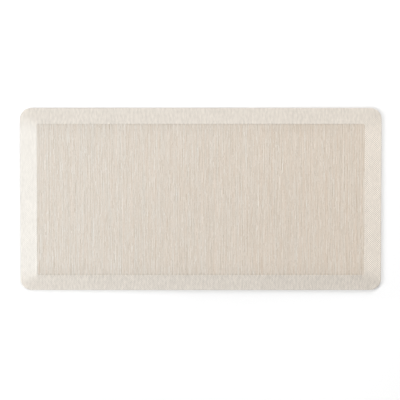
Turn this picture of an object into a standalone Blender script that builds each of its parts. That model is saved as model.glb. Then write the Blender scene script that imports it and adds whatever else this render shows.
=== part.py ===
"""Anti fatigue mat: a layered comfort mat with a sloped, covered border.

Frame: origin on the floor under the mat's centre, +X along its length, +Y across it, +Z up.
Every piece is drawn on one family of nested outlines. An outline is named by its inset, the
distance in from the mat's ends, so neighbours share their edges whatever the sizes are. Along
the front and rear the same inset is a little less, because the border is narrower there.
"""

import math

import bmesh
import bpy

# Overall sizes
MAT_LENGTH = 0.990
MAT_WIDTH = 0.502
CORNER_RADIUS = 0.033

# Layers, from the floor up
BASE_THICKNESS = 0.0015
SUPPORT_THICKNESS = 0.0087
GEL_THICKNESS = 0.0060
FACE_THICKNESS = 0.0015

# Border
BORDER_WIDTH = 0.0458
SIDE_BORDER_WIDTH = 0.0425
COVER_THICKNESS = 0.0010
LIP_RISE = 0.0004
LIP_BEND = 0.0008
RIM_BEND = 0.0013
LAP_WIDTH = 0.0100
HEM_WIDTH = 0.0160

# Edges of the sheets
PANEL_CORNER_RADIUS = 0.0030
FACE_EASE = 0.0006
BASE_INSET = 0.0050

# Clearance between neighbours
FIT_GAP = 0.0003

# Facets in each quarter turn of an outline, and in each bend of the cover
CORNER_STEPS = 6
BEND_STEPS = 4

# Levels that follow from the layers
BASE_TOP = BASE_THICKNESS
CORE_BOTTOM = BASE_TOP + FIT_GAP
SUPPORT_TOP = CORE_BOTTOM + SUPPORT_THICKNESS
GEL_BOTTOM = SUPPORT_TOP + FIT_GAP
GEL_TOP = GEL_BOTTOM + GEL_THICKNESS
FACE_BOTTOM = GEL_TOP + FIT_GAP
FACE_TOP = FACE_BOTTOM + FACE_THICKNESS
LIP_TOP = FACE_TOP + LIP_RISE
LAP_TOP = GEL_TOP
LAP_BOTTOM = LAP_TOP - COVER_THICKNESS
HEM_BOTTOM = CORE_BOTTOM
HEM_TOP = HEM_BOTTOM + COVER_THICKNESS

# Insets that follow from the border, and their share along the front and rear
SIDE_SHARE = SIDE_BORDER_WIDTH / BORDER_WIDTH
LAP_END = BORDER_WIDTH + LAP_WIDTH
CORE_INSET = BORDER_WIDTH - COVER_THICKNESS
WEDGE_INSET = CORE_INSET - FIT_GAP

# Bends of the cover, as centres and outer radii in the border's section
LIP_RADIUS = LIP_BEND + COVER_THICKNESS
RIM_RADIUS = RIM_BEND + COVER_THICKNESS
LIP_CENTRE = (BORDER_WIDTH - LIP_RADIUS, LIP_TOP - LIP_RADIUS)
RIM_CENTRE = (RIM_RADIUS, HEM_BOTTOM + RIM_RADIUS)

# Corners anticlockwise from the right rear, and the sides that run from each corner to the next
CORNERS = ((1, 1), (-1, 1), (-1, -1), (1, -1))
SIDES = ("rear", "left", "front", "right")
LONG_SIDES = ("rear", "front")


def clear_scene():
    """Remove whatever the open file holds."""
    for item in list(bpy.data.objects):
        bpy.data.objects.remove(item, do_unlink=True)


def make_collection(name):
    """A collection in the scene for the mat's pieces."""
    collection = bpy.data.collections.new(name)
    bpy.context.scene.collection.children.link(collection)
    return collection


def make_material(name, colour, roughness):
    """A plain non-metal finish."""
    material = bpy.data.materials.new(name)
    material.use_nodes = True
    shader = material.node_tree.nodes["Principled BSDF"]
    shader.inputs["Base Color"].default_value = (*colour, 1.0)
    shader.inputs["Roughness"].default_value = roughness
    shader.inputs["Metallic"].default_value = 0.0
    return material


def add_piece(name, data, material, collection, frame):
    """Put a piece's data in the scene as a named object on the mat's frame."""
    data.materials.append(material)
    piece = bpy.data.objects.new(name, data)
    collection.objects.link(piece)
    piece.parent = frame
    return piece


def bevel_slope():
    """The border's angle to the floor: the line that touches both bends of the cover."""
    run = LIP_CENTRE[0] - RIM_CENTRE[0]
    rise = LIP_CENTRE[1] - RIM_CENTRE[1]
    return math.atan2(rise, run) + math.asin((LIP_RADIUS - RIM_RADIUS) / math.hypot(run, rise))


def bend(centre, radius, start, end):
    """Points of a bend in the border's section, by angles from the inward direction."""
    points = []
    for step in range(BEND_STEPS + 1):
        angle = start + (end - start) * step / BEND_STEPS
        points.append((centre[0] + radius * math.cos(angle), centre[1] + radius * math.sin(angle)))
    return points


def corner_radius_at(inset):
    """Outlines tighten steadily from the outer corners to the panel's corners."""
    share = min(max(inset / BORDER_WIDTH, 0.0), 1.0)
    return CORNER_RADIUS + (PANEL_CORNER_RADIUS - CORNER_RADIUS) * share


def corner_arc(inset, corner):
    """Points of an outline's rounded corner, anticlockwise."""
    side_x, side_y = CORNERS[corner % len(CORNERS)]
    radius = corner_radius_at(inset)
    centre_x = side_x * (MAT_LENGTH / 2 - inset - radius)
    centre_y = side_y * (MAT_WIDTH / 2 / SIDE_SHARE - inset - radius)
    points = []
    for step in range(CORNER_STEPS + 1):
        angle = math.pi / 2 * (corner + step / CORNER_STEPS)
        along = centre_x + radius * math.cos(angle)
        across = SIDE_SHARE * (centre_y + radius * math.sin(angle))
        points.append((along, across))
    return points


def outline(inset):
    """Points of the rounded rectangle at an inset."""
    points = []
    for corner in range(len(CORNERS)):
        points += corner_arc(inset, corner)
    return points


def loft(rings, closed_rings, closed_section):
    """Join rings of points by a band of quads from each ring to the next."""
    mesh = bmesh.new()
    loops = [[mesh.verts.new(point) for point in ring] for ring in rings]
    bands = list(zip(loops, loops[1:]))
    if closed_section:
        bands.append((loops[-1], loops[0]))
    for one, other in bands:
        first = list(zip(one, other))
        second = first[1:]
        if closed_rings:
            second.append(first[0])
        for (a, b), (d, c) in zip(first, second):
            mesh.faces.new((a, b, c, d))
    return mesh, loops


def at_height(points, height):
    """Lift flat points to a height."""
    return [(x, y, height) for x, y in points]


def finish_mesh(mesh, name):
    """Turn a lofted shape into mesh data with its faces pointing out."""
    bmesh.ops.recalc_face_normals(mesh, faces=mesh.faces)
    data = bpy.data.meshes.new(name)
    mesh.to_mesh(data)
    mesh.free()
    data.shade_smooth()
    data.set_sharp_from_angle(angle=math.radians(30))
    return data


def flat_sheet(name, inset, bottom, top):
    """A flat sheet cut to the outline at an inset."""
    curve = bpy.data.curves.new(name, "CURVE")
    curve.dimensions = "2D"
    curve.fill_mode = "BOTH"
    curve.extrude = (top - bottom) / 2
    points = outline(inset)
    spline = curve.splines.new("POLY")
    spline.points.add(len(points) - 1)
    for point, (x, y) in zip(spline.points, points):
        point.co = (x, y, 0.0, 1.0)
    spline.use_cyclic_u = True
    return curve


def place_sheet(piece, bottom, top):
    """Lift a flat sheet to its layer and join its faces at the edges."""
    piece.location.z = (bottom + top) / 2
    weld = piece.modifiers.new("Joined faces", "WELD")
    weld.merge_threshold = 0.00001


def make_base_sheet(collection, frame):
    """The non-slip sheet that the mat lies on."""
    rubber = make_material("Non-slip rubber", (0.16, 0.15, 0.14), 0.85)
    sheet = flat_sheet("base_sheet", BASE_INSET, 0.0, BASE_TOP)
    piece = add_piece("base_sheet", sheet, rubber, collection, frame)
    place_sheet(piece, 0.0, BASE_TOP)


def make_support_foam(collection, frame):
    """The firm slab between the edge strips."""
    foam = make_material("Support foam", (0.33, 0.34, 0.36), 0.95)
    slab = flat_sheet("support_foam", CORE_INSET, CORE_BOTTOM, SUPPORT_TOP)
    piece = add_piece("support_foam", slab, foam, collection, frame)
    place_sheet(piece, CORE_BOTTOM, SUPPORT_TOP)


def make_gel_pad(collection, frame):
    """The soft layer, with a step round its top where the cover laps under the panel."""
    gel = make_material("Comfort gel", (0.22, 0.42, 0.58), 0.45)
    step_height = LAP_BOTTOM - FIT_GAP
    step_inset = LAP_END + FIT_GAP
    section = [
        (CORE_INSET, GEL_BOTTOM),
        (CORE_INSET, step_height),
        (step_inset, step_height),
        (step_inset, GEL_TOP),
    ]
    rings = [at_height(outline(inset), height) for inset, height in section]
    mesh, loops = loft(rings, closed_rings=True, closed_section=False)
    mesh.faces.new(loops[0])
    mesh.faces.new(loops[-1])
    add_piece("gel_pad", finish_mesh(mesh, "gel_pad"), gel, collection, frame)


def wedge_section():
    """The edge strip's section: it fills the cover, and steps over the hem."""
    skin = COVER_THICKNESS + FIT_GAP
    normal = math.pi / 2 + bevel_slope()
    nose = bend(RIM_CENTRE, RIM_RADIUS - skin, normal, math.pi * 3 / 2)
    shoulder_radius = LIP_RADIUS - skin
    shoulder = (
        LIP_CENTRE[0] + shoulder_radius * math.cos(normal),
        LIP_CENTRE[1] + shoulder_radius * math.sin(normal),
    )
    hem_clear = HEM_WIDTH + FIT_GAP
    return [
        (WEDGE_INSET, LIP_CENTRE[1]),
        shoulder,
        *nose,
        (hem_clear, HEM_TOP + FIT_GAP),
        (hem_clear, CORE_BOTTOM),
        (WEDGE_INSET, CORE_BOTTOM),
    ]


def cut_mitre(mesh, corner, side):
    """Trim a side's strip at a corner's mitre, which runs to the panel's corner."""
    side_x, side_y = CORNERS[corner % len(CORNERS)]
    turn = 1 if side in LONG_SIDES else -1
    size = math.hypot(SIDE_SHARE, 1.0)
    normal = (turn * side_x * SIDE_SHARE / size, -turn * side_y / size, 0.0)
    point = (
        side_x * MAT_LENGTH / 2 - normal[0] * FIT_GAP / 2,
        side_y * MAT_WIDTH / 2 - normal[1] * FIT_GAP / 2,
        0.0,
    )
    everything = mesh.verts[:] + mesh.edges[:] + mesh.faces[:]
    bmesh.ops.bisect_plane(mesh, geom=everything, plane_co=point, plane_no=normal, clear_outer=True)


def make_edge_wedges(collection, frame):
    """Four firm strips of one section, mitred where they meet."""
    for corner, side in enumerate(SIDES):
        name = f"edge_wedge_{side}"
        foam = make_material(f"Edge foam {side}", (0.24, 0.25, 0.27), 0.95)
        rings = []
        for inset, height in wedge_section():
            strip = corner_arc(inset, corner) + corner_arc(inset, corner + 1)
            rings.append(at_height(strip, height))
        mesh, _ = loft(rings, closed_rings=False, closed_section=True)
        cut_mitre(mesh, corner, side)
        cut_mitre(mesh, corner + 1, side)
        bmesh.ops.holes_fill(mesh, edges=mesh.edges[:])
        add_piece(name, finish_mesh(mesh, name), foam, collection, frame)


def make_border_cover(collection, frame):
    """The cover's outer skin from the lap, over the lip, slope and rim, to the hem."""
    vinyl = make_material("Border weave", (0.78, 0.72, 0.64), 0.6)
    normal = math.pi / 2 + bevel_slope()
    section = [
        (LAP_END, LAP_TOP),
        (BORDER_WIDTH, LAP_TOP),
        *bend(LIP_CENTRE, LIP_RADIUS, 0.0, normal),
        *bend(RIM_CENTRE, RIM_RADIUS, normal, math.pi * 3 / 2),
        (HEM_WIDTH, HEM_BOTTOM),
    ]
    rings = [at_height(outline(inset), height) for inset, height in section]
    mesh, _ = loft(rings, closed_rings=True, closed_section=False)
    piece = add_piece("border_cover", finish_mesh(mesh, "border_cover"), vinyl, collection, frame)
    wall = piece.modifiers.new("Sheet thickness", "SOLIDIFY")
    wall.thickness = COVER_THICKNESS
    wall.offset = -1.0
    wall.use_even_offset = True
    wall.use_quality_normals = True


def make_face_panel(collection, frame):
    """The ribbed centre sheet, its edge eased where it meets the border's lip."""
    vinyl = make_material("Face weave", (0.69, 0.62, 0.54), 0.65)
    sheet = flat_sheet("face_panel", BORDER_WIDTH + FIT_GAP, FACE_BOTTOM, FACE_TOP)
    piece = add_piece("face_panel", sheet, vinyl, collection, frame)
    place_sheet(piece, FACE_BOTTOM, FACE_TOP)
    ease = piece.modifiers.new("Eased edge", "BEVEL")
    ease.width = FACE_EASE
    ease.segments = 2
    ease.limit_method = "ANGLE"
    ease.angle_limit = math.radians(60)


def main():
    clear_scene()
    collection = make_collection("Anti fatigue mat")
    frame = bpy.data.objects.new("mat_frame", None)
    collection.objects.link(frame)
    make_base_sheet(collection, frame)
    make_support_foam(collection, frame)
    make_gel_pad(collection, frame)
    make_edge_wedges(collection, frame)
    make_border_cover(collection, frame)
    make_face_panel(collection, frame)


main()
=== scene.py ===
"""Anti fatigue mat: ribbed woven face, sloped woven border, foam core and studded grip base.

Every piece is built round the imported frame, in metres, and rides on its one body.
"""

import math

import bmesh
import bpy
import numpy as np
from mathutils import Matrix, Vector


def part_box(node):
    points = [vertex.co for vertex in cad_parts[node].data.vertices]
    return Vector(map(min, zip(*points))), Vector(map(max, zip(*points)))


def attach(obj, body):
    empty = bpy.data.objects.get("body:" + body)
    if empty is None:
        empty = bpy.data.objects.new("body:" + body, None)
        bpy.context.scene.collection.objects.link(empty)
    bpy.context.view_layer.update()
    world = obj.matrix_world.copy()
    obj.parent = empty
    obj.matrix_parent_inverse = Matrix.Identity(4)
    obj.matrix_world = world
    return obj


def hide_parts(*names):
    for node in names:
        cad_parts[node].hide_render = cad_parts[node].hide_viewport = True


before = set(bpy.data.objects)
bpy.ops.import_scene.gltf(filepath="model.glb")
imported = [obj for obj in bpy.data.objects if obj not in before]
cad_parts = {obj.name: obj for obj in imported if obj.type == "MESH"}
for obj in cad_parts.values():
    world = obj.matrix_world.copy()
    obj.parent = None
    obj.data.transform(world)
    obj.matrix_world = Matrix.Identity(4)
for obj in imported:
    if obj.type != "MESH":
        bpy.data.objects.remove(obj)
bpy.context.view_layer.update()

BODY = "root"
MM = 0.001

# Points this near are at one place, and an edge may pass a run's end by this much.
NEAR = 2e-6
RUN_SLACK = 5e-5

COVER_LOW, COVER_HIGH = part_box("border_cover")
PANEL_LOW, PANEL_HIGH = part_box("face_panel")
BASE_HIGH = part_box("base_sheet")[1]
HALF_LENGTH = COVER_HIGH.x
HALF_WIDTH = COVER_HIGH.y

# Insets are measured at the ends; along the front and rear they shrink to this share.
SIDE_SHARE = (HALF_WIDTH - PANEL_HIGH.y) / (HALF_LENGTH - PANEL_HIGH.x)

# Border: a sheet turned over a rim at the floor, up a slope and over a lip beside the face.
FIT_GAP = 0.3 * MM
LIP_REACH = 0.7 * MM
BORDER_WIDTH = HALF_LENGTH - PANEL_HIGH.x - FIT_GAP + LIP_REACH
SKIN = 1.0 * MM
RIM_RADIUS = 3.0 * MM
RIM_CUTS = 6
LIP_RADIUS = 0.7 * MM
LIP_CUTS = 5
LAP_WIDTH = 10.0 * MM
LAP_END = BORDER_WIDTH + LAP_WIDTH
LAP_TOP = PANEL_LOW.z - FIT_GAP
HEM_WIDTH = 16.0 * MM
NOSE_GAP = 0.1 * MM
OUTER_CORNER = 33.0 * MM
INNER_CORNER = 3.0 * MM
CORNER_CUTS = 36
BORDER_SMOOTH = math.radians(40)

# Its section, as (inset, height): the slope is tangent to the rim's bend and the lip's bend.
RIM_CENTRE = (RIM_RADIUS, COVER_LOW.z + RIM_RADIUS)
LIP_CENTRE = (BORDER_WIDTH - LIP_RADIUS, COVER_HIGH.z - LIP_RADIUS)
SLOPE_RUN = LIP_CENTRE[0] - RIM_CENTRE[0]
SLOPE_RISE = LIP_CENTRE[1] - RIM_CENTRE[1]
SLOPE_EASE = math.asin((RIM_RADIUS - LIP_RADIUS) / math.hypot(SLOPE_RUN, SLOPE_RISE))
SLOPE_ANGLE = math.atan2(SLOPE_RISE, SLOPE_RUN) - SLOPE_EASE
SLOPE_NORMAL = math.pi / 2 + SLOPE_ANGLE
SKIN_DROP = SKIN / math.cos(SLOPE_ANGLE)
RIM_START = RIM_CENTRE[0] + RIM_RADIUS * math.cos(SLOPE_NORMAL)
LIP_START = LIP_CENTRE[0] + LIP_RADIUS * math.cos(SLOPE_NORMAL)

# Border weave: cells on one grid over the whole mat, two steps to a cell. The border is modelled
# with its width stretched, so that its insets are even, and drawn in at the end. Its half length is
# then longer than its half width by a whole number of steps. The grid's lines are counted from the
# mat's middle along its length.
STRETCHED_WIDTH = HALF_WIDTH / SIDE_SHARE
WEAVE_STEPS = 145
WEAVE_STEP = (HALF_LENGTH - STRETCHED_WIDTH) / WEAVE_STEPS
WEAVE_CELL = 2 * WEAVE_STEP
WEAVE_DEPTH = 0.46 * MM
UNDER_DROP = 0.24
FADE_ROWS = 2.0
FIRST_LINE = 318
LAST_LINE = 292
SLOPE_ROWS = FIRST_LINE - LAST_LINE
FIRST_ROW = HALF_LENGTH - FIRST_LINE * WEAVE_STEP
LAST_ROW = HALF_LENGTH - LAST_LINE * WEAVE_STEP

# Straight runs of a ring: axis, half length, and the cuts in turn that leave one edge to a step.
LONG_RUN = 286 * WEAVE_STEP
SHORT_RUN = 140 * WEAVE_STEP
RUNS = ((0, LONG_RUN, (3, 10, 12)), (1, SHORT_RUN, (3, 6, 9)))
RUN_END_CUTS = 7

# How far the look of the ends blends into the look of the sides at a corner.
MITRE_BLEND = 34.0 * MM
END_BLEND = 75.0 * MM

# Face: narrow cords across the mat, bound down at uneven lengths. Its long edges sink to the lip. The
# mesh has a line of points in each valley and on each crown, cut into rows.
CORD_COUNT = 405
CORD_ROWS = 112
CORD_GRID = (CORD_COUNT, CORD_ROWS + 1)
LINE_GRID = (2 * CORD_COUNT + 1, CORD_ROWS + 1)
CORD_JITTER = 0.06
CROWN_PLACE = (0.42, 0.58)
CROWN_DROP = 0.05 * MM
CORD_DEPTH = 0.36 * MM
VALLEY_JITTER = 0.05 * MM
CORD_WANDER = 0.02 * MM
WANDER_REACH = 30.0 * MM
SLUB_HEIGHT = 0.025 * MM
SLUB_LIMIT = 2.0
SLUB_REACH = 22.0 * MM
BIND_DEPTH = 0.14 * MM
BIND_CHANCE = 0.33
LIP_CLEARANCE = 0.05 * MM
FACE_REACH = FIT_GAP - LIP_REACH - LIP_CLEARANCE
FACE_HALF_X = PANEL_HIGH.x + FACE_REACH
FACE_HALF_Y = PANEL_HIGH.y + FACE_REACH
SELVAGE = (0.0, 0.5 * MM, 1.6 * MM, 3.4 * MM, 6.0 * MM)
SELVAGE_DROP = (0.60 * MM, 0.40 * MM, 0.18 * MM, 0.05 * MM, 0.0)
REAR_TUCK = 0.45
END_DROP = 0.06 * MM
ROW_STEP = 2 * (FACE_HALF_Y - SELVAGE[-1]) / (CORD_ROWS - 2 * (len(SELVAGE) - 1))
FACE_SMOOTH = math.radians(60)
FACE_SEED = 11

# Cord tones: one for each bound length, with slow drifts as (weight, reach), and unlike the next cord's.
LENGTH_TONE = 0.75
TONE_DRIFTS = ((0.46, 25.0 * MM), (0.38, 100.0 * MM))
WARM_DRIFTS = ((0.7, 30.0 * MM), (0.7, 120.0 * MM))
UNLIKE_NEIGHBOUR = 0.34
RIB_TONES = (0.25, 0.25, -0.50)

# Base: square studs pressed into the underside, with a plain margin.
STUD_PITCH = 8.0 * MM
STUD_EDGE = 1.7 * MM
STUD_TAPER = 0.35 * MM
STUD_DEPTH = 0.6 * MM
BASE_MARGIN = 14.0 * MM
BASE_CORNER = 28.0 * MM
BASE_SMOOTH = math.radians(25)

# Core: how far each piece's edges are eased, and the angles at which its edges count as flat or sharp.
GEL_EASE = 0.5 * MM
FOAM_EASE = 0.6 * MM
STRIP_EASE = 0.3 * MM
EASE_CUTS = 3
SAME_FLAT = math.radians(1)
SHARP_EDGE = math.radians(30)


def begin_piece():
    """Let go of everything, so that the next operators touch only the new piece."""
    bpy.ops.object.select_all(action="DESELECT")


def end_piece(piece, name, node_names, material):
    """Name a finished piece, dress it and tie it to the frame."""
    piece.name = name
    piece.data.name = name
    piece.data.materials.clear()
    piece.data.materials.append(material)
    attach(piece, BODY)
    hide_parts(*node_names)


def pick_edges(piece, test):
    """In edit mode, select only the edges that pass the test."""
    bpy.ops.mesh.select_mode(type="EDGE")
    bpy.ops.mesh.select_all(action="DESELECT")
    mesh = bmesh.from_edit_mesh(piece.data)
    for edge in mesh.edges:
        if test(edge):
            edge.select_set(True)
    bmesh.update_edit_mesh(piece.data)


def close_piece(smooth_angle):
    """Turn the normals outwards, leave edit mode and smooth what bends less than the angle."""
    bpy.ops.mesh.select_all(action="SELECT")
    bpy.ops.mesh.normals_make_consistent(inside=False)
    bpy.ops.object.mode_set(mode="OBJECT")
    bpy.ops.object.shade_smooth_by_angle(angle=smooth_angle)


def points_of(piece):
    """The piece's points as an array, for moves made in code."""
    points = np.empty(len(piece.data.vertices) * 3, np.float32)
    piece.data.vertices.foreach_get("co", points)
    return points.reshape(-1, 3)


def set_points(piece, points):
    """Put the piece's points where the array says."""
    piece.data.vertices.foreach_set("co", points.astype(np.float32).ravel())
    piece.data.update()


def keep_numbers(piece, name, domain, values):
    """Store one number for each point or face, which the materials read."""
    store = piece.data.attributes.new(name, "FLOAT", domain)
    store.data.foreach_set("value", np.asarray(values, np.float32).ravel())


# Border


def slope_height(inset):
    """How high the border's face is, that far in from the mat's edge."""
    rise = (inset - RIM_CENTRE[0]) * math.sin(SLOPE_ANGLE)
    return RIM_CENTRE[1] + (RIM_RADIUS + rise) / math.cos(SLOPE_ANGLE)


def corner_radius(inset):
    """The outline's corner radius at an inset, from the mat's edge to the lip."""
    return OUTER_CORNER + (INNER_CORNER - OUTER_CORNER) * inset / BORDER_WIDTH


def bend(centre, radius, start, end, steps):
    """Section points round a bend, as (inset, height), without the first."""
    angles = [start + (end - start) * i / steps for i in range(1, steps + 1)]
    return [(centre[0] + radius * math.cos(a), centre[1] + radius * math.sin(a)) for a in angles]


def lip_section():
    """Section points from the slope's top: over the lip, along the lap and back below."""
    top = slope_height(LIP_START)
    lip = [(LIP_START, top)] + bend(LIP_CENTRE, LIP_RADIUS, SLOPE_NORMAL, 0.0, LIP_CUTS)
    lap = [(BORDER_WIDTH, LAP_TOP), (LAP_END, LAP_TOP), (LAP_END, LAP_TOP - SKIN)]
    below = [(BORDER_WIDTH - SKIN, LAP_TOP - SKIN), (LIP_START, top - SKIN_DROP)]
    return lip + lap + below


def rim_section():
    """Section points from the slope's foot: round the rim, along the hem and back inside."""
    start = (RIM_START, slope_height(RIM_START))
    rim = [start] + bend(RIM_CENTRE, RIM_RADIUS, SLOPE_NORMAL, math.pi * 1.5, RIM_CUTS)
    hem_top = COVER_LOW.z + SKIN
    hem = [(HEM_WIDTH, COVER_LOW.z), (HEM_WIDTH, hem_top), (RIM_CENTRE[0], hem_top)]
    inner_foot = (RIM_CENTRE[0], slope_height(RIM_CENTRE[0]) - SKIN_DROP)
    return rim + hem + [(SKIN + NOSE_GAP, RIM_CENTRE[1]), inner_foot]


def add_ring(border, inset):
    """Add one closed ring on the slope, its straight runs cut to the weave's step."""
    height = slope_height(inset)
    half_x = HALF_LENGTH - inset
    half_y = STRETCHED_WIDTH - inset
    centre = (0.0, 0.0, height)
    bpy.ops.mesh.primitive_plane_add(size=2.0, location=centre)
    bpy.ops.transform.resize(value=(half_x, half_y, 1.0), center_override=centre)
    bpy.ops.mesh.bevel(affect="VERTICES", offset=corner_radius(inset), segments=CORNER_CUTS, profile=0.5)
    bpy.ops.mesh.delete(type="ONLY_FACE")

    def on_ring(edge):
        return all(abs(v.co.z - height) < NEAR for v in edge.verts)

    def along(edge, axis):
        return abs(edge.verts[0].co[1 - axis] - edge.verts[1].co[1 - axis]) < NEAR

    def inside_run(edge, axis, run):
        return all(abs(v.co[axis]) < run + RUN_SLACK for v in edge.verts)

    for axis, run, _ in RUNS:
        way = (1.0, 0.0, 0.0) if axis == 0 else (0.0, 1.0, 0.0)
        for side in (-run, run):
            pick_edges(border, on_ring)
            bpy.ops.mesh.bisect(plane_co=[side * part for part in way], plane_no=way)
    for axis, run, _ in RUNS:
        pick_edges(border, lambda e: on_ring(e) and along(e, axis) and not inside_run(e, axis, run))
        bpy.ops.mesh.subdivide(number_cuts=RUN_END_CUTS)
    for axis, run, cuts in RUNS:
        for count in cuts:
            pick_edges(border, lambda e: on_ring(e) and along(e, axis) and inside_run(e, axis, run))
            bpy.ops.mesh.subdivide(number_cuts=count)


def press_weave(border):
    """Lower the slope between the weave's crowns, but not at its first and last rows."""
    points = points_of(border)
    phase_x = points[:, 0] * math.pi / WEAVE_CELL
    phase_y = points[:, 1] * math.pi / WEAVE_CELL
    crown = np.abs(np.sin(phase_x) * np.sin(phase_y))
    over = np.sign(np.sin(phase_x) * np.sin(phase_y))
    low = slope_height(FIRST_ROW)
    high = slope_height(LAST_ROW)
    row = (points[:, 2] - low) / (high - low) * SLOPE_ROWS
    fade = np.clip(np.minimum(row, SLOPE_ROWS - row) / FADE_ROWS, 0.0, 1.0)
    points[:, 2] -= WEAVE_DEPTH * fade * (1.0 - crown * (1.0 - UNDER_DROP * (1.0 - over) / 2))
    set_points(border, points)


def pull_ring(border, inset, section):
    """Extrude the slope's ring at an inset through each (inset, height) of a section."""
    height = slope_height(inset)
    pick_edges(border, lambda e: all(abs(v.co.z - height) < NEAR for v in e.verts))
    for next_inset, next_height in section:
        bpy.ops.mesh.extrude_region_move(TRANSFORM_OT_translate={"value": (0.0, 0.0, next_height - height)})
        grow_x = (HALF_LENGTH - next_inset) / (HALF_LENGTH - inset)
        grow_y = (STRETCHED_WIDTH - next_inset) / (STRETCHED_WIDTH - inset)
        bpy.ops.transform.resize(value=(grow_x, grow_y, 1.0), center_override=(0.0, 0.0, next_height))
        inset = next_inset
        height = next_height


def unrolled(points):
    """Where each point lies with the sheet flat, so that the weave carries on round the rim."""
    first = math.pi / 2 - SLOPE_ANGLE
    angle = np.arcsin(np.clip((points[:, 2] - RIM_CENTRE[1]) / RIM_RADIUS, -1.0, 1.0))
    turned = RIM_RADIUS * (first - angle + 1.0 - np.cos(angle)) - RIM_START
    turned = np.where(points[:, 2] < slope_height(RIM_START), turned, 0.0)
    out_x = np.maximum(np.abs(points[:, 0]) - HALF_LENGTH + OUTER_CORNER, 0.0)
    out_y = np.maximum(np.abs(points[:, 1]) - STRETCHED_WIDTH + OUTER_CORNER, 0.0)
    turned /= np.maximum(np.hypot(out_x, out_y), NEAR)
    return (
        points[:, 0] + np.sign(points[:, 0]) * out_x * turned,
        points[:, 1] + np.sign(points[:, 1]) * out_y * turned,
    )


def end_share(points):
    """How far each point belongs to an end, from 0 along the sides to 1 at the ends."""
    from_side = STRETCHED_WIDTH - np.abs(points[:, 1])
    from_end = HALF_LENGTH - np.abs(points[:, 0])
    past_corner = np.clip(from_side / END_BLEND, 0.0, 1.0)
    past_corner = past_corner * past_corner * (3.0 - 2.0 * past_corner)
    return np.clip((from_side - from_end) / MITRE_BLEND + 0.5, 0.0, 1.0) * past_corner


def make_border(material):
    """The woven border: slope, lip and lap, rim and hem, with a plain inner skin."""
    begin_piece()
    bpy.ops.mesh.primitive_plane_add(size=2.0)
    border = bpy.context.active_object
    bpy.ops.object.mode_set(mode="EDIT")
    bpy.ops.mesh.select_mode(type="VERT")
    bpy.ops.mesh.select_all(action="SELECT")
    bpy.ops.mesh.delete(type="VERT")
    add_ring(border, LAST_ROW)
    add_ring(border, FIRST_ROW)
    bpy.ops.mesh.select_all(action="SELECT")
    bpy.ops.mesh.bridge_edge_loops(number_cuts=SLOPE_ROWS - 1, interpolation="LINEAR")
    bpy.ops.object.mode_set(mode="OBJECT")
    press_weave(border)
    bpy.ops.object.mode_set(mode="EDIT")
    pull_ring(border, LAST_ROW, lip_section())
    pull_ring(border, FIRST_ROW, rim_section())
    pick_edges(border, lambda e: len(e.link_faces) == 1)
    bpy.ops.mesh.bridge_edge_loops()
    close_piece(BORDER_SMOOTH)
    points = points_of(border)
    keep_numbers(border, "end", "POINT", end_share(points))
    flat_x, flat_y = unrolled(points)
    keep_numbers(border, "flat_x", "POINT", flat_x)
    keep_numbers(border, "flat_y", "POINT", flat_y)
    points[:, 1] *= SIDE_SHARE
    set_points(border, points)
    end_piece(border, "woven_border", ["border_cover"], material)


# Face


def drift(draws, reach):
    """Noise along each cord that forgets itself over the given reach."""
    keep = math.exp(-ROW_STEP / reach)
    out = np.empty_like(draws)
    out[:, 0] = draws[:, 0]
    for row in range(1, draws.shape[1]):
        out[:, row] = keep * out[:, row - 1] + math.sqrt(1 - keep * keep) * draws[:, row]
    return out


def drifts(dice, parts):
    """Several drifts over all the cords, each given as (weight, reach), added up."""
    return sum(weight * drift(dice.normal(size=CORD_GRID), reach) for weight, reach in parts)


def cord_lines(dice):
    """Where the valleys and crowns lie along the mat, in turn."""
    valleys = np.linspace(-FACE_HALF_X, FACE_HALF_X, CORD_COUNT + 1)
    jitter = dice.uniform(-CORD_JITTER, CORD_JITTER, CORD_COUNT - 1)
    valleys[1:-1] += jitter * (valleys[1] - valleys[0])
    lines = np.empty(LINE_GRID[0])
    lines[0::2] = valleys
    lines[1::2] = valleys[:-1] + np.diff(valleys) * dice.uniform(*CROWN_PLACE, CORD_COUNT)
    return lines


def cord_rows():
    """Where the mesh's rows lie across the mat, closer together at the selvages."""
    selvage = np.array(SELVAGE)
    last = FACE_HALF_Y - selvage[-1]
    middle = np.linspace(-last, last, CORD_ROWS + 1 - 2 * (len(selvage) - 1))
    front = -FACE_HALF_Y + selvage[:-1]
    rear = (FACE_HALF_Y - selvage[:-1])[::-1]
    return np.concatenate([front, middle, rear])


def cord_heights(dice, bound):
    """How high each valley and crown is at each row."""
    slub = drift(dice.normal(size=CORD_GRID), SLUB_REACH)
    crowns = PANEL_HIGH.z - CROWN_DROP + np.clip(slub, -SLUB_LIMIT, SLUB_LIMIT) * SLUB_HEIGHT
    valleys = np.full((CORD_COUNT + 1, CORD_ROWS + 1), PANEL_HIGH.z - CORD_DEPTH)
    valleys += dice.uniform(-VALLEY_JITTER, VALLEY_JITTER, valleys.shape)
    heights = np.empty(LINE_GRID)
    heights[0::2] = valleys
    heights[1::2] = crowns - bound * BIND_DEPTH
    drop = np.zeros(CORD_ROWS + 1)
    drop[: len(SELVAGE_DROP)] = SELVAGE_DROP
    drop[-len(SELVAGE_DROP):] = np.array(SELVAGE_DROP[::-1]) * REAR_TUCK
    heights -= drop
    heights[0] -= END_DROP
    heights[-1] -= END_DROP
    return heights


def cord_wander(dice):
    """How far each line strays sideways at each row; the outermost two keep straight."""
    wander = drift(dice.normal(size=LINE_GRID), WANDER_REACH) * CORD_WANDER
    wander[0] = 0.0
    wander[-1] = 0.0
    return wander


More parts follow.
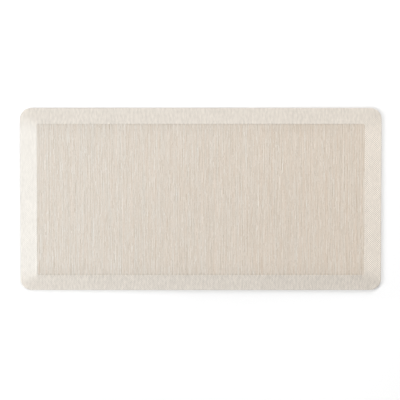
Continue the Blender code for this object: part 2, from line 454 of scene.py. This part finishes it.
def cord_tones(dice, bound):
    """How pale or dark each cord is at each row."""
    length_id = np.cumsum(bound, axis=1)
    table = dice.normal(size=(CORD_COUNT, CORD_ROWS + 2))
    tone = LENGTH_TONE * np.take_along_axis(table, length_id, axis=1) + drifts(dice, TONE_DRIFTS)
    tone[1:] -= UNLIKE_NEIGHBOUR * tone[:-1].copy()
    return tone + np.resize(RIB_TONES, CORD_COUNT)[:, None]


def make_face(material):
    """The ribbed face: one sheet of cords that run front to rear, closed below."""
    dice = np.random.RandomState(FACE_SEED)
    begin_piece()
    bpy.ops.mesh.primitive_grid_add(x_subdivisions=2 * CORD_COUNT, y_subdivisions=CORD_ROWS, size=2.0)
    face = bpy.context.active_object
    points = points_of(face)
    line = np.rint((points[:, 0] + 1) * CORD_COUNT).astype(int)
    row = np.rint((points[:, 1] + 1) / 2 * CORD_ROWS).astype(int)
    middles = np.empty(len(face.data.polygons) * 3, np.float32)
    face.data.polygons.foreach_get("center", middles)
    middles = middles.reshape(-1, 3)
    face_cord = np.floor((middles[:, 0] + 1) / 2 * CORD_COUNT).astype(int)
    face_row = np.floor((middles[:, 1] + 1) / 2 * CORD_ROWS).astype(int)

    lines = cord_lines(dice)
    bound = dice.uniform(size=CORD_GRID) < BIND_CHANCE
    heights = cord_heights(dice, bound)
    points[:, 0] = lines[line] + cord_wander(dice)[line, row]
    points[:, 1] = cord_rows()[row]
    points[:, 2] = heights[line, row]
    set_points(face, points)
    keep_numbers(face, "tone", "FACE", cord_tones(dice, bound)[face_cord, face_row])
    keep_numbers(face, "warm", "FACE", drifts(dice, WARM_DRIFTS)[face_cord, face_row])
    on_crown = line % 2
    keep_numbers(face, "crown", "POINT", on_crown)
    keep_numbers(face, "bound", "POINT", on_crown * bound[np.minimum(line // 2, CORD_COUNT - 1), row])

    bpy.ops.object.mode_set(mode="EDIT")
    pick_edges(face, lambda e: len(e.link_faces) == 1)
    bpy.ops.mesh.extrude_region_move(TRANSFORM_OT_translate={"value": (0.0, 0.0, -MM)})
    bpy.ops.transform.resize(value=(1.0, 1.0, 0.0), center_override=(0.0, 0.0, PANEL_LOW.z))
    bpy.ops.mesh.edge_face_add()
    close_piece(FACE_SMOOTH)
    end_piece(face, "ribbed_face", ["face_panel"], material)


# Base


def rounded_outline_point(x, y, half_x, half_y, radius):
    """The nearest point on a rounded rectangle, from a point on the stud field's edge."""
    inner_x = max(-half_x + radius, min(half_x - radius, x))
    inner_y = max(-half_y + radius, min(half_y - radius, y))
    away_x = x - inner_x
    away_y = y - inner_y
    if abs(away_x) < NEAR and abs(away_y) < NEAR:
        if half_x - abs(x) < half_y - abs(y):
            return math.copysign(half_x, x), y
        return x, math.copysign(half_y, y)
    size = math.hypot(away_x, away_y)
    return inner_x + away_x / size * radius, inner_y + away_y / size * radius


def make_base(material):
    """The grip base: a rubber sheet with square studs below and a plain margin."""
    half_x = BASE_HIGH.x
    half_y = BASE_HIGH.y
    field_x = half_x - BASE_MARGIN
    field_y = half_y - BASE_MARGIN
    studs_x = round(2 * field_x / STUD_PITCH)
    studs_y = round(2 * field_y / STUD_PITCH)
    begin_piece()
    bpy.ops.mesh.primitive_grid_add(
        x_subdivisions=studs_x, y_subdivisions=studs_y, size=2.0, location=(0.0, 0.0, STUD_DEPTH)
    )
    base = bpy.context.active_object
    bpy.ops.object.transform_apply(location=True)
    bpy.ops.object.mode_set(mode="EDIT")
    bpy.ops.mesh.select_mode(type="FACE")
    bpy.ops.mesh.select_all(action="SELECT")
    bpy.ops.transform.resize(value=(field_x, field_y, 1.0), center_override=(0.0, 0.0, 0.0))
    bpy.ops.mesh.flip_normals()
    bpy.ops.mesh.inset(use_individual=True, thickness=STUD_EDGE)
    bpy.ops.mesh.inset(use_individual=True, thickness=STUD_TAPER, depth=STUD_DEPTH)
    pick_edges(base, lambda e: len(e.link_faces) == 1)
    bpy.ops.mesh.extrude_region_move()
    mesh = bmesh.from_edit_mesh(base.data)
    for vert in mesh.verts:
        if vert.select:
            vert.co.x, vert.co.y = rounded_outline_point(vert.co.x, vert.co.y, half_x, half_y, BASE_CORNER)
    bmesh.update_edit_mesh(base.data)
    bpy.ops.mesh.extrude_region_move(TRANSFORM_OT_translate={"value": (0.0, 0.0, BASE_HIGH.z - STUD_DEPTH)})
    bpy.ops.mesh.edge_face_add()
    close_piece(BASE_SMOOTH)
    end_piece(base, "grip_base", ["base_sheet"], material)


# Core


def make_core_piece(node_name, name, material, ease):
    """A foam or gel piece: the solid's own form with its edges eased."""
    piece = bpy.data.objects.new(name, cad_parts[node_name].data.copy())
    bpy.context.scene.collection.objects.link(piece)
    begin_piece()
    piece.select_set(True)
    bpy.context.view_layer.objects.active = piece
    bpy.ops.object.mode_set(mode="EDIT")
    bpy.ops.mesh.select_mode(type="EDGE")
    bpy.ops.mesh.select_all(action="SELECT")
    bpy.ops.mesh.remove_doubles(threshold=NEAR)
    bpy.ops.mesh.normals_make_consistent(inside=False)
    bpy.ops.mesh.dissolve_limited(angle_limit=SAME_FLAT)
    bpy.ops.object.mode_set(mode="OBJECT")
    rounding = piece.modifiers.new("eased edges", "BEVEL")
    rounding.width = ease
    rounding.segments = EASE_CUTS
    rounding.limit_method = "ANGLE"
    rounding.angle_limit = SHARP_EDGE
    bpy.ops.object.modifier_apply(modifier=rounding.name)
    bpy.ops.object.shade_smooth_by_angle(angle=SHARP_EDGE)
    end_piece(piece, name, [node_name], material)


# Finishes: tools


# The middle of a noise, of a ramp and of a step from 0 to 1.
MIDDLE = 0.5


def new_finish(name, constants):
    """A material with its shader, and the values that are the same all over set on it."""
    material = bpy.data.materials.new(name)
    material.use_nodes = True
    shader = material.node_tree.nodes["Principled BSDF"]
    for socket, value in constants.items():
        shader.inputs[socket].default_value = value
    return material, material.node_tree, shader


def node(tree, kind, inputs=None, **settings):
    """Add a node; an input is a number to set or another node's socket to link."""
    made = tree.nodes.new(kind)
    for name, value in settings.items():
        setattr(made, name, value)
    for name, value in (inputs or {}).items():
        if isinstance(value, bpy.types.NodeSocket):
            tree.links.new(value, made.inputs[name])
        else:
            made.inputs[name].default_value = value
    return made


def maths(tree, operation, first, second=0.0, third=0.0):
    """One step of arithmetic on numbers."""
    return node(tree, "ShaderNodeMath", {0: first, 1: second, 2: third}, operation=operation).outputs[0]


def scaled(tree, value, times, plus):
    """The value times one number, plus another."""
    return maths(tree, "MULTIPLY_ADD", value, times, plus)


def product(tree, *values):
    """All the values multiplied together."""
    total = values[0]
    for value in values[1:]:
        total = maths(tree, "MULTIPLY", total, value)
    return total


def mixed(tree, share, first, second):
    """A number between two others."""
    return node(tree, "ShaderNodeMix", {0: share, 2: first, 3: second}, data_type="FLOAT").outputs[0]


def mixed_colour(tree, share, first, second):
    """A colour between two others."""
    return node(tree, "ShaderNodeMix", {0: share, 6: first, 7: second}, data_type="RGBA").outputs[2]


def tinted(tree, colour, tint):
    """One colour times another, part by part."""
    return node(tree, "ShaderNodeVectorMath", {0: colour, 1: tint}, operation="MULTIPLY").outputs[0]


def between(tree, value, low, high, first, last):
    """A smooth step from the first number to the last, as the value goes from low to high."""
    limits = {"Value": value, "From Min": low, "From Max": high, "To Min": first, "To Max": last}
    return node(tree, "ShaderNodeMapRange", limits, interpolation_type="SMOOTHSTEP").outputs[0]


def ramp(tree, value, stops):
    """Colours at places along a ramp; the first two stops take the ramp's own ends."""
    made = node(tree, "ShaderNodeValToRGB", {"Fac": value})
    band = made.color_ramp.elements
    for index, (place, colour) in enumerate(stops):
        stop = band[index] if index < 2 else band.new(place)
        stop.position = place
        stop.color = (*colour, 1.0)
    return made.outputs["Color"]


def object_place(tree):
    """The object's own coordinates."""
    return node(tree, "ShaderNodeTexCoord").outputs["Object"]


def object_parts(tree):
    """The object's own coordinates as three numbers."""
    return node(tree, "ShaderNodeSeparateXYZ", {0: object_place(tree)}).outputs


def grain(tree, scale, detail=2.0):
    """Noise over the object's own coordinates, stretched by the three scales."""
    placed = node(tree, "ShaderNodeMapping", {"Vector": object_place(tree), "Scale": scale}).outputs[0]
    return node(tree, "ShaderNodeTexNoise", {"Vector": placed, "Scale": 1.0, "Detail": detail}).outputs["Fac"]


def kept(tree, name):
    """A number that the piece keeps for each of its points or faces."""
    return node(tree, "ShaderNodeAttribute", attribute_name=name).outputs["Fac"]


def ripple(tree, value, pitch):
    """A sine wave of the given pitch along a value."""
    return maths(tree, "SINE", maths(tree, "MULTIPLY", value, 2 * math.pi / pitch))


def drifted(tree, colour, shade, amount):
    """The colour times a shade, cooler by some amount at the mat's left end and warmer at its right."""
    along = maths(tree, "DIVIDE", object_parts(tree)[0], HALF_LENGTH)
    tilt = maths(tree, "MULTIPLY", along, amount)
    red = maths(tree, "MULTIPLY", maths(tree, "ADD", 1.0, tilt), shade)
    blue = maths(tree, "MULTIPLY", maths(tree, "SUBTRACT", 1.0, tilt), shade)
    return tinted(tree, colour, node(tree, "ShaderNodeCombineXYZ", {0: red, 1: shade, 2: blue}).outputs[0])


def set_surface(tree, shader, colour, height, bump, rough):
    """Give a shader its colour, its bump as (strength, distance) and its roughness."""
    tree.links.new(colour, shader.inputs["Base Color"])
    relief = node(tree, "ShaderNodeBump", {"Height": height, "Strength": bump[0], "Distance": bump[1]})
    tree.links.new(relief.outputs[0], shader.inputs["Normal"])
    tree.links.new(rough, shader.inputs["Roughness"])


# Finishes: the face's cords


CORD_DARK = (0.505, 0.422, 0.334)
CORD_PALE = (0.790, 0.755, 0.712)
CORD_MIDDLE = (0.657, 0.586, 0.512)
TONE_SPREAD = 0.112
FLECK_SCALE = (700.0, 110.0, 1.0)
FLECK_DEPTH = 2.4
COOL_TINT = (0.975, 1.0, 1.005)
WARM_TINT = (1.02, 0.995, 0.965)
WARM_SPREAD = 0.24
FACE_WARMTH = 0.026
# Painted shade in the valleys between the cords, and painted light on their crowns.
VALLEY_PAINTED_SHADE = 0.86
CROWN_PAINTED_LIGHT = 0.16
FACE_GLOSS = 0.35
FACE_SHEEN = 0.08
FACE_BUMP = (0.5, 0.15 * MM)
FACE_ROUGH_SCALE = (60.0, 30.0, 1.0)
FACE_ROUGH = 0.5
FACE_ROUGH_SPREAD = 0.2

# Painted shade: the long edges darken a little beside the lip, and more in the crease, where the cords are
# bunched under the lip; the crease's shade ripples in bunches, more strongly at the front.
FACE_EDGE_BAND = 45.0 * MM
FACE_EDGE_PAINTED_SHADE = 0.965
CREASE_BAND = (6.0 * MM, 2.0 * MM)
CREASE_PAINTED_SHADE = -0.03
CORDS_IN_BUNCH = 5
BUNCH_PITCH = CORDS_IN_BUNCH * 2 * FACE_HALF_X / CORD_COUNT
# The crease's painted shade ripples in bunches, more strongly at the front, which faces away from the lights.
FRONT_DOTS = 0.072
REAR_DOTS = 0.035

# Each bound place has a stitch, dipped in the bump and darkened with painted shade, and fine weft and fibre
# run over the cords.
STITCH_REACH = (0.25 * MM, 0.75 * MM)
STITCH_PAINTED_SHADE = -0.2
STITCH_HEIGHT = -1.5
WEFT = {"Scale": 230.0, "Distortion": 1.5, "Detail": 1.0}
FIBRE_SCALE = (1500.0, 200.0, 1.0)
FIBRE_HEIGHT = 0.7


def face_finish():
    """Ribbed woven vinyl: cords of many tones, with painted shade in the valleys, along the long edges, in
    the crease and at the stitches.
    """
    constants = {"Specular IOR Level": FACE_GLOSS, "Sheen Weight": FACE_SHEEN}
    material, tree, shader = new_finish("ribbed woven vinyl", constants)
    place = object_place(tree)
    parts = object_parts(tree)
    across = maths(tree, "ABSOLUTE", parts[1])

    fleck = maths(tree, "SUBTRACT", grain(tree, FLECK_SCALE), MIDDLE)
    tone = maths(tree, "ADD", kept(tree, "tone"), maths(tree, "MULTIPLY", fleck, FLECK_DEPTH))
    share = scaled(tree, tone, TONE_SPREAD, MIDDLE)
    colour = ramp(tree, share, [(0.0, CORD_DARK), (1.0, CORD_PALE), (MIDDLE, CORD_MIDDLE)])
    warm = scaled(tree, kept(tree, "warm"), WARM_SPREAD, MIDDLE)
    colour = tinted(tree, colour, ramp(tree, warm, [(0.0, COOL_TINT), (1.0, WARM_TINT)]))

    # Painted shade: darker in the valleys, paler on the crowns.
    valley = scaled(tree, kept(tree, "crown"), CROWN_PAINTED_LIGHT, VALLEY_PAINTED_SHADE)
    # Painted shade along the long edges, beside the lip.
    edge = between(tree, across, PANEL_HIGH.y - FACE_EDGE_BAND, PANEL_HIGH.y, 1.0, FACE_EDGE_PAINTED_SHADE)
    # Painted shade in the crease, rippled in bunches.
    in_crease = between(tree, across, FACE_HALF_Y - CREASE_BAND[0], FACE_HALF_Y - CREASE_BAND[1], 0.0, 1.0)
    dot_depth = between(tree, parts[1], -FACE_HALF_Y, FACE_HALF_Y, FRONT_DOTS, REAR_DOTS)
    dots = scaled(tree, ripple(tree, parts[0], BUNCH_PITCH), dot_depth, CREASE_PAINTED_SHADE)
    crease_painted_shade = scaled(tree, in_crease, dots, 1.0)
    from_row = maths(tree, "PINGPONG", across, ROW_STEP / 2)
    # Painted shade at the stitches, in the dips where the cords are bound.
    stitch = maths(tree, "MULTIPLY", between(tree, from_row, *STITCH_REACH, 1.0, 0.0), kept(tree, "bound"))
    shade = product(tree, valley, edge, crease_painted_shade, scaled(tree, stitch, STITCH_PAINTED_SHADE, 1.0))

    weft = node(tree, "ShaderNodeTexWave", {"Vector": place, **WEFT}, wave_type="BANDS", bands_direction="Y")
    height = scaled(tree, grain(tree, FIBRE_SCALE), FIBRE_HEIGHT, weft.outputs["Fac"])
    height = scaled(tree, stitch, STITCH_HEIGHT, height)
    rough = scaled(tree, grain(tree, FACE_ROUGH_SCALE), FACE_ROUGH_SPREAD, FACE_ROUGH)
    set_surface(tree, shader, drifted(tree, colour, shade, FACE_WARMTH), height, FACE_BUMP, rough)
    return material


# Finishes: the border's weave


# Pairs are for the sides and for the ends. A drift is painted light and shade by how the slopes face the
# lights: towards the front and the right end, which face away from them, the weave is painted paler and its
# check and streaks stronger, and towards the rear and the left end the reverse.
# The ends' colour is paler than the sides': painted sheen, for the side lights glancing off the end slopes.
SIDE_COLOUR = (0.637, 0.589, 0.5265, 1.0)
END_PAINTED_SHEEN_COLOUR = (0.722, 0.675, 0.610, 1.0)
BORDER_WARMTH = (0.009, 0.026)
AWAY_PAINTED_LIGHT = 0.028
CHECK_DEPTH = (0.10, 0.24)
CHECK_PAINTED_SHADE_DRIFT = (0.10, 0.16)
CHECK_EDGE = 0.25
STREAK_SCALE = (300.0, 85.0, 85.0)
STREAK_DEPTH = (0.42, 0.30)
STREAK_PAINTED_SHADE_DRIFT = (0.06, 0.0)
STRIPE_DEPTH = (0.028, 0.0)
STRIPE_WANDER = 30.0 * MM
PATCH_SCALE = (25.0, 25.0, 25.0)
PATCH_SHADE = 0.96
PATCH_SPREAD = 0.08
# Painted shade in the gaps between the weave's crowns.
GAP_PAINTED_SHADE = 0.95
GAP_SPREAD = 0.12
BORDER_GLOSS = 0.4
BORDER_SHEEN = 0.06
BORDER_BUMP = (0.5, 0.2 * MM)
BORDER_ROUGH_SCALE = (80.0, 80.0, 80.0)
BORDER_ROUGH = 0.45
BORDER_ROUGH_SPREAD = 0.2
THREAD_PITCH = WEAVE_CELL / 4
THREAD_HEIGHT = 0.12

# Painted shade just above the floor, under the rim's turn, and painted light on the rim along the front and
# rear, both by height;
# and dots beside the bunched cords.
UNDER_RIM_REACH = (0.5 * MM, 4.0 * MM)
UNDER_RIM_PAINTED_SHADE = 0.90
# Painted light on the rim along the front and rear, where its turn falls in shade.
RIM_REACH = (4.5 * MM, 6.5 * MM)
RIM_PAINTED_LIGHT = (0.06, 0.0)
LIP_BAND = 5.0 * MM
LIP_DOTS = 0.06


def border_finish():
    """Fine woven vinyl: a check of threads over and under, streaked along the mat's short way."""
    constants = {"Specular IOR Level": BORDER_GLOSS, "Sheen Weight": BORDER_SHEEN}
    material, tree, shader = new_finish("fine woven vinyl", constants)
    parts = object_parts(tree)
    flat_x = kept(tree, "flat_x")
    flat_y = kept(tree, "flat_y")
    end = kept(tree, "end")
    to_right = maths(tree, "DIVIDE", parts[0], HALF_LENGTH)
    to_front = maths(tree, "DIVIDE", parts[1], -HALF_WIDTH)
    # From -1 at the rear and the left end, which face the lights, to 1 at the front and the right end.
    away_from_lights = mixed(tree, end, to_front, to_right)

    def by_side(pair):
        """A number that goes from the pair's first along the sides to its second at the ends."""
        return scaled(tree, end, pair[1] - pair[0], pair[0])

    both = maths(tree, "MULTIPLY", ripple(tree, flat_x, 2 * WEAVE_CELL), ripple(tree, flat_y, 2 * WEAVE_CELL))
    crown = maths(tree, "ABSOLUTE", both)
    over = between(tree, both, -CHECK_EDGE, CHECK_EDGE, 0.0, 1.0)
    # Painted shade of the weave's relief: its check and streaks grow stronger on the slopes that face away
    # from the lights.
    check_depth = scaled(tree, away_from_lights, by_side(CHECK_PAINTED_SHADE_DRIFT), by_side(CHECK_DEPTH))
    check = scaled(tree, maths(tree, "SUBTRACT", over, MIDDLE), check_depth, 1.0)
    streak_depth = scaled(tree, away_from_lights, by_side(STREAK_PAINTED_SHADE_DRIFT), by_side(STREAK_DEPTH))
    streak_grain = maths(tree, "SUBTRACT", grain(tree, STREAK_SCALE), MIDDLE)
    streak = scaled(tree, streak_grain, streak_depth, 1.0)
    patch_grain = grain(tree, PATCH_SCALE)
    stripe_place = scaled(tree, patch_grain, STRIPE_WANDER, flat_x)
    stripe = scaled(tree, ripple(tree, stripe_place, BUNCH_PITCH), by_side(STRIPE_DEPTH), 1.0)
    patch = scaled(tree, patch_grain, PATCH_SPREAD, PATCH_SHADE)
    # Painted shade: darker in the gaps, paler on the crowns.
    gap_painted_shade = scaled(tree, crown, GAP_SPREAD, GAP_PAINTED_SHADE)

    # Painted shade under the rim's turn, just above the floor.
    under_rim_low, under_rim_high = (COVER_LOW.z + reach for reach in UNDER_RIM_REACH)
    under_rim_painted_shade = between(tree, parts[2], under_rim_low, under_rim_high, UNDER_RIM_PAINTED_SHADE, 1.0)
    # Painted light on the rim's turn along the front and rear.
    rim_low, rim_high = (COVER_LOW.z + reach for reach in RIM_REACH)
    on_rim = between(tree, parts[2], rim_low, rim_high, 1.0, 0.0)
    rim = scaled(tree, on_rim, by_side(RIM_PAINTED_LIGHT), 1.0)
    from_middle_x = maths(tree, "ABSOLUTE", parts[0])
    from_middle_y = maths(tree, "ABSOLUTE", parts[1])
    on_lip = between(tree, from_middle_y, FACE_HALF_Y, FACE_HALF_Y + LIP_BAND, 1.0, 0.0)
    beside_face = between(tree, from_middle_x, FACE_HALF_X - LIP_BAND, FACE_HALF_X, LIP_DOTS, 0.0)
    dot_depth = maths(tree, "MULTIPLY", on_lip, beside_face)
    dots = scaled(tree, ripple(tree, parts[0], BUNCH_PITCH), dot_depth, 1.0)
    # Painted light: paler towards the front and the right end, away from the lights, and darker towards the
    # rear and the left end.
    away_painted_light = scaled(tree, away_from_lights, AWAY_PAINTED_LIGHT, 1.0)
    shade = product(tree, streak, stripe, patch, gap_painted_shade, check, under_rim_painted_shade, rim, dots, away_painted_light)
    # Painted sheen: the ends take the paler colour.
    colour = mixed_colour(tree, end, SIDE_COLOUR, END_PAINTED_SHEEN_COLOUR)
    colour = drifted(tree, colour, shade, by_side(BORDER_WARMTH))

    threads = mixed(tree, over, ripple(tree, flat_x, THREAD_PITCH), ripple(tree, flat_y, THREAD_PITCH))
    height = scaled(tree, threads, THREAD_HEIGHT, crown)
    rough = scaled(tree, grain(tree, BORDER_ROUGH_SCALE), BORDER_ROUGH_SPREAD, BORDER_ROUGH)
    set_surface(tree, shader, colour, height, BORDER_BUMP, rough)
    return material


# Finishes: foam, gel and rubber


FOAM_CLOUD_SCALE = (30.0, 30.0, 30.0)
FOAM_CLOUD_DETAIL = 3.0
FOAM_CLOUD_SHARE = 0.5
FOAM_CELL_SHARE = 0.6
FOAM_STOPS = (0.1, 0.8)
FOAM_GLOSS = 0.3
FOAM_BUMP = (0.6, 0.3 * MM)
FOAM_ROUGH_SPREAD = 0.3

RUBBER_DARK = (0.125, 0.115, 0.105)
RUBBER_PALE = (0.215, 0.200, 0.182)
RUBBER_STOPS = (0.25, 0.75)
RUBBER_CLOUD_SCALE = (18.0, 18.0, 18.0)
RUBBER_CLOUD_DETAIL = 4.0
RUBBER_CLOUD_SHARE = 0.6
SPECK_SCALE = (900.0, 900.0, 900.0)
SPECK_SHARE = 0.4
GROOVE_START = 0.05 * MM
GROOVE_PAINTED_SHADE = 0.45
RUBBER_GLOSS = 0.35
RUBBER_BUMP = (0.35, 0.2 * MM)
RUBBER_ROUGH = 0.6
RUBBER_ROUGH_SPREAD = 0.25


def foam_finish(name, dark, pale, cell_scale, rough_low):
    """Open-cell foam or gel: fine cells, cloudy colour and a soft surface."""
    material, tree, shader = new_finish(name, {"Specular IOR Level": FOAM_GLOSS})
    voronoi = node(tree, "ShaderNodeTexVoronoi", {"Vector": object_place(tree), "Scale": cell_scale})
    cells = voronoi.outputs["Distance"]
    cloud = grain(tree, FOAM_CLOUD_SCALE, FOAM_CLOUD_DETAIL)
    share = scaled(tree, cells, FOAM_CELL_SHARE, maths(tree, "MULTIPLY", cloud, FOAM_CLOUD_SHARE))
    colour = ramp(tree, share, zip(FOAM_STOPS, (dark, pale)))
    set_surface(tree, shader, colour, cells, FOAM_BUMP, scaled(tree, cloud, FOAM_ROUGH_SPREAD, rough_low))
    return material


def rubber_finish():
    """Grip rubber: specked and cloudy, with painted shade in the grooves between the studs."""
    material, tree, shader = new_finish("grip rubber", {"Specular IOR Level": RUBBER_GLOSS})
    cloud = grain(tree, RUBBER_CLOUD_SCALE, RUBBER_CLOUD_DETAIL)
    speck = grain(tree, SPECK_SCALE)
    share = scaled(tree, speck, SPECK_SHARE, maths(tree, "MULTIPLY", cloud, RUBBER_CLOUD_SHARE))
    colour = ramp(tree, share, zip(RUBBER_STOPS, (RUBBER_DARK, RUBBER_PALE)))
    # Painted shade in the grooves between the studs.
    groove_painted_shade = between(tree, object_parts(tree)[2], GROOVE_START, STUD_DEPTH, 1.0, GROOVE_PAINTED_SHADE)
    darker = node(tree, "ShaderNodeCombineXYZ", {0: groove_painted_shade, 1: groove_painted_shade, 2: groove_painted_shade}).outputs[0]
    rough = scaled(tree, cloud, RUBBER_ROUGH_SPREAD, RUBBER_ROUGH)
    set_surface(tree, shader, tinted(tree, colour, darker), speck, RUBBER_BUMP, rough)
    return material


# The mat


GEL_DARK = (0.16, 0.33, 0.47)
GEL_PALE = (0.29, 0.51, 0.68)
GEL_CELLS = 600.0
GEL_ROUGH = 0.25
FIRM_DARK = (0.26, 0.27, 0.29)
FIRM_PALE = (0.40, 0.41, 0.43)
FIRM_CELLS = 900.0
STRIP_DARK = (0.18, 0.19, 0.21)
STRIP_PALE = (0.30, 0.31, 0.33)
STRIP_CELLS = 1100.0
FOAM_ROUGH = 0.65

make_face(face_finish())
make_border(border_finish())
make_base(rubber_finish())
gel = foam_finish("comfort gel", GEL_DARK, GEL_PALE, GEL_CELLS, GEL_ROUGH)
make_core_piece("gel_pad", "gel_layer", gel, GEL_EASE)
firm_foam = foam_finish("firm foam", FIRM_DARK, FIRM_PALE, FIRM_CELLS, FOAM_ROUGH)
make_core_piece("support_foam", "foam_slab", firm_foam, FOAM_EASE)
edge_foam = foam_finish("edge foam", STRIP_DARK, STRIP_PALE, STRIP_CELLS, FOAM_ROUGH)
for side in ("front", "rear", "left", "right"):
    make_core_piece("edge_wedge_" + side, "edge_strip_" + side, edge_foam, STRIP_EASE)


# Studio


FLOOR_SIZE = 50.0
FLOOR_ROUGH = 0.9

# Painted light and shade: the floor's tone is graded against the lights, lower where they fall strongly and
# paler where they fall off,
# so that it just stays white: the higher of two planes, each given as (per metre to the right, per metre to
# the rear, at the middle), and a lift in front, beyond the mat's shadow.
FRONT_TONE = (0.149, -0.098, 0.8345)
REAR_TONE = (-0.06, 0.10, 0.89)
LEAST_TONE = 0.85
MOST_TONE = 0.98
MOTTLE_SCALE = (3.0, 3.0, 3.0)
MOTTLE = 0.02
LIFT_BAND = (70.0 * MM, 10.0 * MM)
FRONT_PAINTED_LIGHT = 0.026

# Lights: name, azimuth and elevation in degrees, distance and size in metres, power in watts.
ROOM_WHITE = (1.0, 1.0, 1.0, 1.0)
ROOM_LIGHT = 0.270
SOFTBOXES = (
    ("left_softbox", 187.0, 36.0, 2.8, (1.4, 1.0), 39.2),
    ("rear_softbox", 73.0, 32.0, 2.8, (1.4, 1.0), 33.2),
    ("corner_softbox", 135.0, 40.0, 10.0, (3.6, 3.6), 148.0),
    ("right_fill", 0.0, 50.0, 10.0, (5.0, 5.0), 207.0),
    ("front_fill", 270.0, 50.0, 10.0, (5.0, 5.0), 221.0),
)

# Camera: almost straight above, so far off that the mat's sides stay parallel.
LENS = 400.0
SENSOR = 36.0
VIEW_WIDTH = 1.0976
VIEW_TILT = math.radians(6.0)
VIEW_TARGET = (-0.0022, -0.0024, 0.004)
VIEW_DEPTH = 100.0


def make_floor():
    """A pale floor, wide enough for the low views, its tone graded with painted light and shade."""
    begin_piece()
    bpy.ops.mesh.primitive_plane_add(size=FLOOR_SIZE)
    floor = bpy.context.active_object
    floor.name = "studio_floor"
    constants = {"Roughness": FLOOR_ROUGH, "Specular IOR Level": 0.0}
    material, tree, shader = new_finish("pale floor", constants)
    parts = object_parts(tree)

    def plane(slope_x, slope_y, middle):
        """A tone that changes evenly over the floor."""
        return scaled(tree, parts[0], slope_x, scaled(tree, parts[1], slope_y, middle))

    tone = maths(tree, "MAXIMUM", plane(*FRONT_TONE), plane(*REAR_TONE))
    tone = maths(tree, "MAXIMUM", tone, LEAST_TONE)
    tone = scaled(tree, grain(tree, MOTTLE_SCALE), MOTTLE, tone)
    # Painted light: a lift in front, beyond the mat's shadow.
    far_front, near_front = (-HALF_WIDTH - reach for reach in LIFT_BAND)
    tone = maths(tree, "ADD", tone, between(tree, parts[1], far_front, near_front, FRONT_PAINTED_LIGHT, 0.0))
    tree.links.new(maths(tree, "MINIMUM", tone, MOST_TONE), shader.inputs["Base Color"])
    floor.data.materials.append(material)


def add_softbox(name, azimuth, elevation, distance, size, power):
    """A soft area light that faces the mat's middle."""
    turn = math.radians(azimuth)
    lift = math.radians(elevation)
    place = (
        distance * math.cos(lift) * math.cos(turn),
        distance * math.cos(lift) * math.sin(turn),
        distance * math.sin(lift),
    )
    bpy.ops.object.light_add(type="AREA", location=place, rotation=(0.0, math.pi / 2 - lift, turn))
    lamp = bpy.context.active_object
    lamp.name = name
    lamp.data.shape = "RECTANGLE"
    lamp.data.size, lamp.data.size_y = size
    lamp.data.energy = power


def light_studio():
    """Soft light from the left and the rear, with weaker fills and a white room."""
    world = bpy.data.worlds.new("soft white room")
    bpy.context.scene.world = world
    world.use_nodes = True
    room = world.node_tree.nodes["Background"]
    room.inputs["Color"].default_value = ROOM_WHITE
    room.inputs["Strength"].default_value = ROOM_LIGHT
    for softbox in SOFTBOXES:
        add_softbox(*softbox)


def aim_camera():
    """A long lens, tilted a little from straight down, as in the photograph."""
    distance = VIEW_WIDTH * LENS / SENSOR
    place = (
        VIEW_TARGET[0],
        VIEW_TARGET[1] + distance * math.sin(VIEW_TILT),
        VIEW_TARGET[2] + distance * math.cos(VIEW_TILT),
    )
    bpy.ops.object.camera_add(location=place, rotation=(-VIEW_TILT, 0.0, 0.0))
    camera = bpy.context.active_object
    camera.name = "photo_camera"
    camera.data.lens = LENS
    camera.data.sensor_width = SENSOR
    camera.data.clip_end = VIEW_DEPTH
    bpy.context.scene.camera = camera
    bpy.context.scene.view_settings.view_transform = "Standard"


make_floor()
light_studio()
aim_camera()
